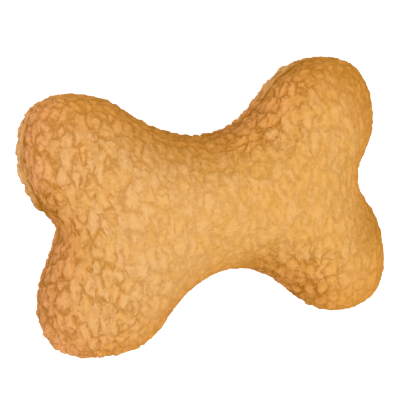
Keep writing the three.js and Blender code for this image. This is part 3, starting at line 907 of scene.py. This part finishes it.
class BONE_OT_cover(bpy.types.Operator):
    """Front and back fleece panels, swelled by the stuffing"""

    bl_idname = "bone.cover"
    bl_label = "Fleece cover"

    def execute(self, context):
        look = context.scene.fleece_look
        front, back = puffed_cages(context.scene.cover_sizes, context)
        fleece = fleece_material(look)
        backing = backing_material(look)
        pile = pile_tree(look)
        piece = self.panel("fleece_front", front, 1, pile, fleece, backing, context)
        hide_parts("front_panel")
        press_with_front(piece)
        piece = self.panel("fleece_back", back, -1, pile, fleece, backing, context)
        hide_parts("back_panel")
        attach(piece, "toy")
        return {"FINISHED"}

    def panel(self, name, cage, side, pile, fleece, backing, context):
        """A closed panel with its pile; the side is 1 for the front and -1 for the back"""
        sizes = context.scene.cover_sizes
        look = context.scene.fleece_look
        mirror = [1, 1, side]
        lining = lining_points(cage * mirror, sizes) * mirror + [0, 0, seam_height]
        lining[:, 2] = np.maximum(lining[:, 2], sizes.backing)
        faces = [face[::side] for face in cage_faces()]
        piece = mesh_piece(name, cage + [0, 0, seam_height], faces, context)
        smooth = piece.modifiers.new("Smooth", "SUBSURF")
        smooth.levels = SMOOTHING
        smooth.render_levels = SMOOTHING
        applied(piece, context)
        tucks = [(on_cover(place, sizes), reach, 1.0) for place, _, reach in TUCKS]
        # Spots where the pile is slack, where painted shade darkens it, and where the seam is tucked
        for label, spots in (("slack", SLACK_SPOTS), ("painted_shade", PAINTED_SHADE_SPOTS), ("tucked", tucks)):
            store_spots(piece.data, label, spots)
        values = {
            "Pile Height": look.pile_height,
            "Lint Height": look.lint_height,
            "Seam Height": seam_height,
            "Material": fleece,
        }
        run_tree(piece, pile, values, context)
        points = points_of(piece.data)
        points[:, 2] = np.maximum(points[:, 2], FLOOR_GAP)
        set_points(piece.data, points)
        piece.data.shade_smooth()
        close_panel(piece, lining, backing)
        return piece


# Seam threads


def tube(w, path, diameter, sides):
    profile = {"Resolution": sides, "Radius": w.times(diameter, 0.5)}
    ring = w.result("GeometryNodeCurvePrimitiveCircle", profile)
    made = w.result("GeometryNodeCurveToMesh", {"Curve": path, "Profile Curve": ring, "Fill Caps": True})
    return w.result("GeometryNodeSetShadeSmooth", {"Geometry": made})


def stitch_tree():
    """Geometry Nodes that lay one arched stitch after another along a path"""
    tree, w, given = geometry_tree("Stitch row", ("Stitch", "Thread", "Arch"))
    path = w.result("GeometryNodeMeshToCurve", {"Mesh": given["Mesh"]})
    steps = {"Curve": path, "Length": given["Stitch"]}
    places = w.node("GeometryNodeCurveToPoints", steps, mode="LENGTH").outputs
    turn = w.result("FunctionNodeAlignRotationToVector", {"Vector": places["Tangent"]}, axis="X")
    half = w.times(given["Stitch"], STITCH_SPAN / 2)
    dip = w.times(given["Arch"], -STITCH_DIP)
    bow = {
        "Resolution": 5,
        "Start": w.joined(w.times(half, -1.0), 0.0, dip),
        "Middle": w.joined(0.0, 0.0, given["Arch"]),
        "End": w.joined(half, 0.0, dip),
    }
    stitch = tube(w, w.result("GeometryNodeCurveQuadraticBezier", bow), given["Thread"], sides=6)
    laid = {"Points": places["Points"], "Instance": stitch, "Rotation": turn}
    w.finish(w.result("GeometryNodeInstanceOnPoints", laid), given["Material"])
    return tree


def ladder_tree():
    """Geometry Nodes that turn a stepped path into one hand-sewn thread with rounded turns"""
    tree, w, given = geometry_tree("Ladder stitch", ("Thread",))
    path = w.result("GeometryNodeMeshToCurve", {"Mesh": given["Mesh"]})
    turns = {"Curve": path, "Count": 4, "Radius": given["Thread"]}
    rounded = w.result("GeometryNodeFilletCurve", turns, mode="POLY")
    w.finish(tube(w, rounded, given["Thread"], sides=8), given["Material"])
    return tree


def seam_loop(sizes, distance):
    """Loop inside the cover's leaned outline, anticlockwise from the middle of the near side"""
    far_path, right_path = outline_sides(sizes)
    half = along(far_path, np.linspace(0.5, 1.0, 120))
    near = half * [1, -1]
    right = along(right_path, np.linspace(0.0, 1.0, 160))
    quarter = np.concatenate([near[:-1], right[:-1], half[::-1][:-1]])
    loop = leaned(np.concatenate([quarter, -quarter]), sizes)
    return inset(pushed(loop, TUCKS, sizes), distance)


class BONE_OT_threads(bpy.types.Operator):
    """Machine stitches of the seam and the hand stitches that close it"""

    bl_idname = "bone.threads"
    bl_label = "Seam threads"

    def execute(self, context):
        sizes = context.scene.cover_sizes
        look = context.scene.sewing_look
        thread = {"Thread": look.thread, "Material": thread_material(look)}
        loop = seam_loop(sizes, look.seam_line)
        closed_by_hand = (loop[:, 1] < 0) & (np.abs(loop[:, 0]) < look.opening / 2)
        sewn = loop[~closed_by_hand]
        tree = stitch_tree()
        for node, side in (("needle_thread", 1), ("bobbin_thread", -1)):
            low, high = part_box(node)
            path = raised(sewn, (low.z + high.z) / 2)
            self.sew(node, path, tree, {**thread, "Stitch": look.stitch, "Arch": side * look.thread}, context)
        low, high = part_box("closing_thread")
        self.sew("closing_thread", self.ladder(sizes, look, low.z, high.z), ladder_tree(), thread, context)
        return {"FINISHED"}

    def sew(self, node, path, tree, values, context):
        edges = [(k, k + 1) for k in range(len(path) - 1)]
        piece = mesh_piece(node + "_stitches", path, [], context, edges=edges)
        run_tree(piece, tree, values, context)
        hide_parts(node)
        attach(piece, "toy")

    def ladder(self, sizes, look, low, high):
        """Steps from one panel to the other in the groove of the seam"""
        groove = seam_loop(sizes, sizes.seam_tuck * HAND_STITCH_DEPTH)
        near = groove[groove[:, 1] < 0]
        near = near[np.argsort(near[:, 0])]
        near = near[np.abs(near[:, 0]) < look.opening]
        rungs = round(look.opening / look.rung)
        xs = np.linspace(-look.opening / 2, look.opening / 2, rungs + 1)
        ys = np.interp(xs, near[:, 0], near[:, 1])
        steps = []
        for k, (x, y) in enumerate(zip(xs, ys)):
            ends = [(x, y, low), (x, y, high)]
            steps += ends if k % 2 == 0 else ends[::-1]
        return np.array(steps)


# Stuffing


def wad_tree():
    """Geometry Nodes that press soft hollows into a wad of fibre"""
    tree, w, given = geometry_tree("Fibre wad", ("Hollows",))
    place = w.scaled(w.result("GeometryNodeInputPosition"), TO_MILLIMETRES)
    hollows = []
    for waves, share in HOLLOW_WAVES:
        hollows.append(w.smooth(w.noise(place, waves)["Fac"], 0.35, 0.65, 0.0, -share))
    depth = w.times(w.total(*hollows), given["Hollows"])
    offset = w.scaled(w.result("GeometryNodeInputNormal"), depth)
    moved = w.result("GeometryNodeSetPosition", {"Geometry": given["Mesh"], "Offset": offset})
    w.finish(moved, given["Material"])
    return tree


class BONE_OT_stuffing(bpy.types.Operator):
    """Wads of polyester fibre that fill the cover"""

    bl_idname = "bone.stuffing"
    bl_label = "Stuffing"

    def execute(self, context):
        look = context.scene.filling_look
        sizes = context.scene.cover_sizes
        material = fibre_material(look)
        tree = wad_tree()
        for node in SQUEEZED_WADS + PUSHED_WADS + STILL_WADS:
            piece = self.wad(node, look, tree, material, context)
            points = points_of(piece.data)
            points[:, :2] = pushed(points[:, :2], FOLDS + TUCKS, sizes)
            set_points(piece.data, points)
            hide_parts(node)
            if node in SQUEEZED_WADS:
                press_with_front(piece)
            elif node in PUSHED_WADS:
                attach(piece, "press_side")
            else:
                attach(piece, "toy")
        return {"FINISHED"}

    def wad(self, node, look, tree, material, context):
        """A wad in its solid's place, remeshed and pressed full of hollows"""
        loose = bmesh.new()
        loose.from_mesh(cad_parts[node].data)
        bmesh.ops.remove_doubles(loose, verts=loose.verts[:], dist=MERGE_DISTANCE)
        piece = mesh_piece(node + "_fibre", [], [], context)
        loose.to_mesh(piece.data)
        loose.free()
        remesh = piece.modifiers.new("Remesh", "REMESH")
        remesh.mode = "VOXEL"
        remesh.voxel_size = look.wad_detail
        relax = piece.modifiers.new("Relax", "SMOOTH")
        relax.factor = 0.5
        relax.iterations = WAD_SMOOTHING
        applied(piece, context)
        run_tree(piece, tree, {"Hollows": look.wad_hollows, "Material": material}, context)
        piece.data.shade_smooth()
        return piece


# Squeaker


def lathe(profile, turns):
    """Points and faces of a profile turned round the upright axis; the profile starts and ends on the axis"""
    ring = np.stack([np.cos(turns), np.sin(turns)], axis=1)
    points = [(0.0, 0.0, profile[0][1])]
    for radius, height in profile[1:-1]:
        points += [(radius * c, radius * s, height) for c, s in ring]
    points.append((0.0, 0.0, profile[-1][1]))
    count = len(turns)
    loops = [1 + k * count + np.arange(count) for k in range(len(profile) - 2)]
    after = np.roll(np.arange(count), -1)
    faces = [(0, loops[0][k], loops[0][after[k]]) for k in range(count)]
    for upper, lower in zip(loops, loops[1:]):
        faces += ring_faces(upper, lower)
    last = len(points) - 1
    faces += [(last, loops[-1][after[k]], loops[-1][k]) for k in range(count)]
    return np.array(points), faces


def bulb_side(radius, half_height, neck, lip):
    """Profile of the bulb from its top to the lip of its neck"""
    end = -math.acos((neck / radius) ** (1 / BULB_SQUARENESS))
    side = [(0.0, half_height)]
    for place in np.linspace(math.pi / 2, end, BULB_STEPS)[1:]:
        across = radius * max(math.cos(place), 0.0) ** BULB_SQUARENESS
        side.append((across, math.copysign(half_height * abs(math.sin(place)) ** BULB_SQUARENESS, place)))
    return side + [(neck, lip + NECK_RING * (side[-1][1] - lip)), (neck, lip)]


class BONE_OT_squeaker(bpy.types.Operator):
    """Blown bulb with its parting lines, and the plastics of the whistle and the reed"""

    bl_idname = "bone.squeaker"
    bl_label = "Squeaker"

    def execute(self, context):
        look = context.scene.filling_look
        grain = moulded_group()
        points, faces = self.bulb(look)
        piece = mesh_piece("squeaker_bulb_blown", points, faces, context)
        piece.data.shade_smooth()
        bulb = plastic_material("soft_bulb", look.bulb_colour, grain, roughness=0.42, depth=0.0003)
        piece.data.materials.append(bulb)
        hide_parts("squeaker_bulb")
        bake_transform(piece)
        hard = plastic_material("moulded_whistle", look.whistle_colour, grain, roughness=0.28, depth=0.0001)
        film = plastic_material("reed_film", look.reed_colour, grain, roughness=0.18, depth=0.00005)
        plastics = {"whistle_body": hard, "reed_seat": hard, "reed_clamp": hard, "reed": film}
        for node, material in plastics.items():
            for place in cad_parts[node].material_slots:
                place.material = material
        return {"FINISHED"}

    def bulb(self, look):
        """Points and faces of the bulb's wall, with a ridge along its parting lines"""
        wall = look.bulb_wall
        radius = (bulb_high.x - bulb_low.x) / 2
        half_height = (bulb_high.z - bulb_low.z - look.neck) / 2
        middle = bulb_high.z - half_height
        lip = bulb_low.z - middle
        outer = bulb_side(radius, half_height, look.neck_radius, lip)
        inner = bulb_side(radius - wall, half_height - wall, look.neck_radius - wall, lip)
        parting = np.radians(PARTING_TURNS)
        ahead = len(parting) // 2
        sides = np.radians(SIDE_TURNS)
        turns = np.concatenate([parting[ahead:], sides, math.pi + parting, math.pi + sides, parting[:ahead]])
        points, faces = lathe(outer + inner[::-1], turns)
        off_line = np.abs(np.arctan2(points[:, 1], np.abs(points[:, 0])))
        ridge = look.bulb_ridge * np.exp(-((off_line / math.radians(RIDGE_REACH)) ** 2))
        outside = np.arange(len(points)) < 1 + (len(outer) - 1) * len(turns)
        grown = 1 + np.where(outside, ridge, 0.0) / radius
        points = points * grown[:, None] + [0, 0, middle]
        points[:, 2] = np.clip(points[:, 2], bulb_low.z, None)
        return points, faces


# Materials


def new_material(name):
    material = bpy.data.materials.new(name)
    material.use_nodes = True
    material.node_tree.nodes.clear()
    return material, Wiring(material.node_tree)


def pattern_group(name, marks):
    """New shader node group with a place and a scale going in, and named marks coming out"""
    sockets = [("Place", "Vector"), ("Scale", "Float")]
    tree, w, given = new_tree(name, "ShaderNodeTree", sockets, [(mark, "Float") for mark in marks])
    return tree, w, w.scaled(given["Place"], given["Scale"])


def moulded_group():
    """Faint grain and flow marks of moulded plastic"""
    tree, w, place = pattern_group("Moulded plastic", ("Grain", "Flow"))
    grain = w.noise(place, 2.2, detail=3.0, roughness=0.6)["Fac"]
    flow = w.noise(w.vector("MULTIPLY", place, (0.25, 0.25, 0.06)), 1.0)["Fac"]
    w.node("NodeGroupOutput", {"Grain": grain, "Flow": flow})
    return tree


def plastic_material(name, base, group, roughness, depth):
    material, w = new_material(name)
    given = {"Place": w.object_place(), "Scale": TO_MILLIMETRES}
    marks = w.node("ShaderNodeGroup", given, node_tree=group).outputs
    darker = [FLOW_SHADE * part for part in base]
    tint = w.mix(w.smooth(marks["Flow"], 0.35, 0.70), base, darker)
    smoother, rougher = (roughness * share for share in GRAIN_GLOSS)
    rough = w.smooth(marks["Grain"], 0.30, 0.70, smoother, rougher)
    w.surface(tint, rough, marks["Grain"], gloss=0.5, strength=0.3, depth=depth)
    return material


def strand_group():
    """Crossing strands of spun or loose fibre"""
    tree, w, place = pattern_group("Fibre strands", ("Strands",))
    sway = w.vector("ADD", place, w.scaled(w.noise(place, 0.3, detail=1.0)["Color"], 4.0))
    lengthwise = w.noise(w.vector("MULTIPLY", sway, (0.25, 2.4, 2.4)), 1.0)["Fac"]
    crosswise = w.noise(w.vector("MULTIPLY", sway, (2.4, 0.25, 2.4)), 1.0)["Fac"]
    w.node("NodeGroupOutput", {"Strands": w.smooth(w.most(lengthwise, crosswise), 0.45, 0.75)})
    return tree


def strand_material(name, base, shadow, scale, depth):
    material, w = new_material(name)
    group = bpy.data.node_groups.get("Fibre strands") or strand_group()
    strands = w.result("ShaderNodeGroup", {"Place": w.object_place(), "Scale": scale}, node_tree=group)
    tint = w.mix(strands, [part * shadow for part in base], base)
    rough = w.smooth(strands, 0.0, 1.0, 0.98, 0.85)
    w.surface(tint, rough, strands, gloss=0.2, strength=0.5, depth=depth)
    return material


def fibre_material(look):
    return strand_material("polyester_fibre", look.fibre_colour, shadow=0.80, scale=900.0, depth=0.0008)


def thread_material(look):
    return strand_material("spun_thread", look.thread_colour, shadow=0.60, scale=3000.0, depth=0.0002)


def tip_colours(w, place, slack, tone, from_seam, look):
    """Colour of the curls' tips: peach to the left and where it is slack, and painted shade on the flanks
    near the seam, rosy to the left and where it is slack
    """
    lengthwise = w.parts(place)["X"]
    tufts = w.noise(w.scaled(place, TO_MILLIMETRES), TUFT_WAVES)["Fac"]
    mottled = w.times(w.less(tone, 0.5), by_slack(w, slack, tight=0.3, loose=0.9))
    leftwards = w.smooth(lengthwise, *PEACH, 0.80, 0.15)
    peach = w.clamped(w.total(leftwards, w.smooth(tufts, 0.35, 0.65, -0.20, 0.20), mottled))
    tips = w.mix(peach, look.tip_colour, look.peach_colour)
    # Painted shade: the flanks near the seam take a darker colour, rosy to the left and where the cover is
    # slack
    rosy = w.most(w.smooth(lengthwise, *ROSY, 1.0, 0.0), w.times(slack, 0.6))
    flanks = w.mix(rosy, look.flank_shade_colour, look.rosy_flank_shade_colour)
    return w.mix(w.smooth(from_seam, *FLANK_SHADE, 0.9, 0.0), tips, flanks)


def fleece_material(look):
    material, w = new_material("curly_fleece")
    place = w.attribute("cover_place")["Vector"]
    slack = w.attribute("slack")["Fac"]
    painted_shade = w.attribute("painted_shade")["Fac"]
    height, crack, tone = fleece_pattern(w, place, slack, look)
    millimetres = w.scaled(place, TO_MILLIMETRES)
    fuzz = w.noise(millimetres, FUZZ_WAVES, detail=3.0, roughness=0.65)["Fac"]
    grain = w.noise(millimetres, GRAIN_WAVES)["Fac"]
    above_seam = w.less(w.parts(place)["Z"], seam_height)
    from_seam = w.math("ABSOLUTE", above_seam)
    # Painted light: the back's lip beside a tucked seam is lightened, and the painted shade along the seam is
    # taken off there
    lip = w.times(w.smooth(above_seam, *LIP_LIGHT, 0.9, 0.0), w.attribute("tucked")["Fac"])
    tips = w.mix(lip, tip_colours(w, place, slack, tone, from_seam, look), look.lip_light_colour)
    # Painted shade along the seam, stronger at the painted shade spots
    rim = w.times(w.smooth(from_seam, *RIM, 1.0, 0.0), w.smooth(painted_shade, 0.0, 1.0, 0.10, 0.50))
    # Painted shade towards the roots' colour, from the tips at 0 to the roots at 1: in the cracks, low
    # between the curls, in the seam's groove, along the seam and at the painted shade spots, with random tone
    # from the fuzz and the grain
    root_shade_and_tone = w.total(
        w.times(crack, 0.44),
        w.smooth(height, 0.25, 0.80, 0.22, -0.04),
        w.smooth(fuzz, 0.30, 0.70, 0.09, -0.09),
        w.smooth(grain, 0.34, 0.66, 0.08, -0.08),
        w.smooth(from_seam, *GROOVE, 0.60, 0.0),
        w.times(rim, w.less(1.0, lip)),
        w.times(painted_shade, 0.55),
    )
    base = w.mix(w.clamped(root_shade_and_tone), tips, look.root_shade_colour)
    rough = w.smooth(fuzz, 0.30, 0.70, 1.0, 0.90)
    w.surface(base, rough, fuzz, gloss=0.02, strength=0.28, depth=0.0008)
    return material


def backing_material(look):
    material, w = new_material("knitted_backing")
    knit = {"Vector": w.scaled(w.object_place(), TO_MILLIMETRES), "Scale": 0.45, "Distortion": 1.2}
    rows = w.node("ShaderNodeTexWave", knit).outputs["Fac"]
    # The knit's rows, a pattern of the backing, are tinted with the colour of the pile's painted root shade
    base = w.mix(w.smooth(rows, 0.0, 1.0, 0.0, 0.35), look.backing_colour, look.root_shade_colour)
    rough = w.smooth(rows, 0.0, 1.0, 0.95, 0.82)
    w.surface(base, rough, rows, gloss=0.2, strength=0.4, depth=0.0004)
    return material


# Stage


def seen_rays(w):
    """1 for rays that show a surface to the camera, straight or by gloss or glass, and 0 for other rays"""
    light = w.node("ShaderNodeLightPath").outputs
    return w.most(w.most(light["Is Camera Ray"], light["Is Glossy Ray"]), light["Is Transmission Ray"])


def floor_material(look):
    material, w = new_material("white_floor")
    lit = w.result("ShaderNodeBsdfDiffuse", {"Color": (*look.floor_colour, 1.0)})
    glow = w.result("ShaderNodeEmission", {"Strength": w.times(seen_rays(w), look.glow)})
    both = w.result("ShaderNodeAddShader", {0: lit, 1: glow})
    w.node("ShaderNodeOutputMaterial", {"Surface": both})
    return material


def aimed(place, target):
    turned = (place - target).to_track_quat("Z", "Y").to_matrix().to_4x4()
    turned.translation = place
    return turned


def camera_place(look, middle):
    """Place and turn of the camera, from its tilt, bearing and distance and the roll of the picture"""
    across = math.sin(look.tilt)
    towards = Vector((across * math.cos(look.bearing), across * math.sin(look.bearing), math.cos(look.tilt)))
    right = Vector((0, 1, 0)).cross(towards).normalized()
    up = towards.cross(right)
    screen_right = right * math.cos(look.roll) - up * math.sin(look.roll)
    screen_up = right * math.sin(look.roll) + up * math.cos(look.roll)
    placed = Matrix((screen_right, screen_up, towards)).transposed().to_4x4()
    placed.translation = middle + towards * look.distance
    return placed


class BONE_OT_stage(bpy.types.Operator):
    """White floor, soft overhead light and the photo's camera"""

    bl_idname = "bone.stage"
    bl_label = "Stage"

    def execute(self, context):
        scene = context.scene
        look = scene.stage_look
        middle = Vector((0, 0, seam_height))
        scene.view_settings.view_transform = "Standard"
        self.add_floor(look, context)
        scene.world = self.sky(look)
        lamp = bpy.data.lights.new("overhead", "AREA")
        lamp.size = look.lamp_size
        lamp.energy = look.lamp
        self.place(lamp, aimed(Vector(look.lamp_place), middle), scene)
        camera = bpy.data.cameras.new("camera")
        camera.lens = look.lens
        camera.sensor_width = look.sensor
        camera.shift_x, camera.shift_y = look.shift
        camera.clip_start = look.nearest
        scene.camera = self.place(camera, camera_place(look, middle), scene)
        return {"FINISHED"}

    def add_floor(self, look, context):
        half = look.floor / 2
        corners = [(-half, -half, 0), (half, -half, 0), (half, half, 0), (-half, half, 0)]
        floor = mesh_piece("floor", corners, [(0, 1, 2, 3)], context)
        floor.data.materials.append(floor_material(look))

    def sky(self, look):
        """White world that lights the toy less than it shows"""
        world = bpy.data.worlds.new("Studio")
        world.use_nodes = True
        world.node_tree.nodes.clear()
        w = Wiring(world.node_tree)
        strength = w.smooth(seen_rays(w), 0.0, 1.0, look.sky, 1.0)
        white = w.result("ShaderNodeBackground", {"Color": (1, 1, 1, 1), "Strength": strength})
        w.node("ShaderNodeOutputWorld", {"Surface": white})
        return world

    def place(self, data, matrix, scene):
        placed = bpy.data.objects.new(data.name, data)
        placed.matrix_world = matrix
        scene.collection.objects.link(placed)
        return placed


class BONE_PT_panel(bpy.types.Panel):
    """Sizes, looks and makers of the bone"""

    bl_idname = "BONE_PT_panel"
    bl_label = "Fleece Bone"
    bl_space_type = "VIEW_3D"
    bl_region_type = "UI"
    bl_category = "Fleece Bone"

    def draw(self, context):
        layout = self.layout
        for name in GROUPS:
            group = getattr(context.scene, name)
            box = layout.box()
            for item in group.bl_rna.properties:
                if item.identifier not in ("rna_type", "name"):
                    box.prop(group, item.identifier)
        for operator in OPERATORS:
            layout.operator(operator.bl_idname)


GROUPS = {
    "cover_sizes": CoverSizes,
    "fleece_look": FleeceLook,
    "sewing_look": SewingLook,
    "filling_look": FillingLook,
    "stage_look": StageLook,
}
OPERATORS = (BONE_OT_cover, BONE_OT_threads, BONE_OT_stuffing, BONE_OT_squeaker, BONE_OT_stage)
CLASSES = (*GROUPS.values(), *OPERATORS, BONE_PT_panel)


def register():
    for made in CLASSES:
        bpy.utils.register_class(made)
    for name, group in GROUPS.items():
        setattr(bpy.types.Scene, name, bpy.props.PointerProperty(type=group))


def unregister():
    for name in GROUPS:
        delattr(bpy.types.Scene, name)
    for made in reversed(CLASSES):
        bpy.utils.unregister_class(made)


def main():
    register()
    bpy.ops.bone.cover()
    bpy.ops.bone.threads()
    bpy.ops.bone.stuffing()
    bpy.ops.bone.squeaker()
    bpy.ops.bone.stage()


if __name__ == "__main__":
    main()
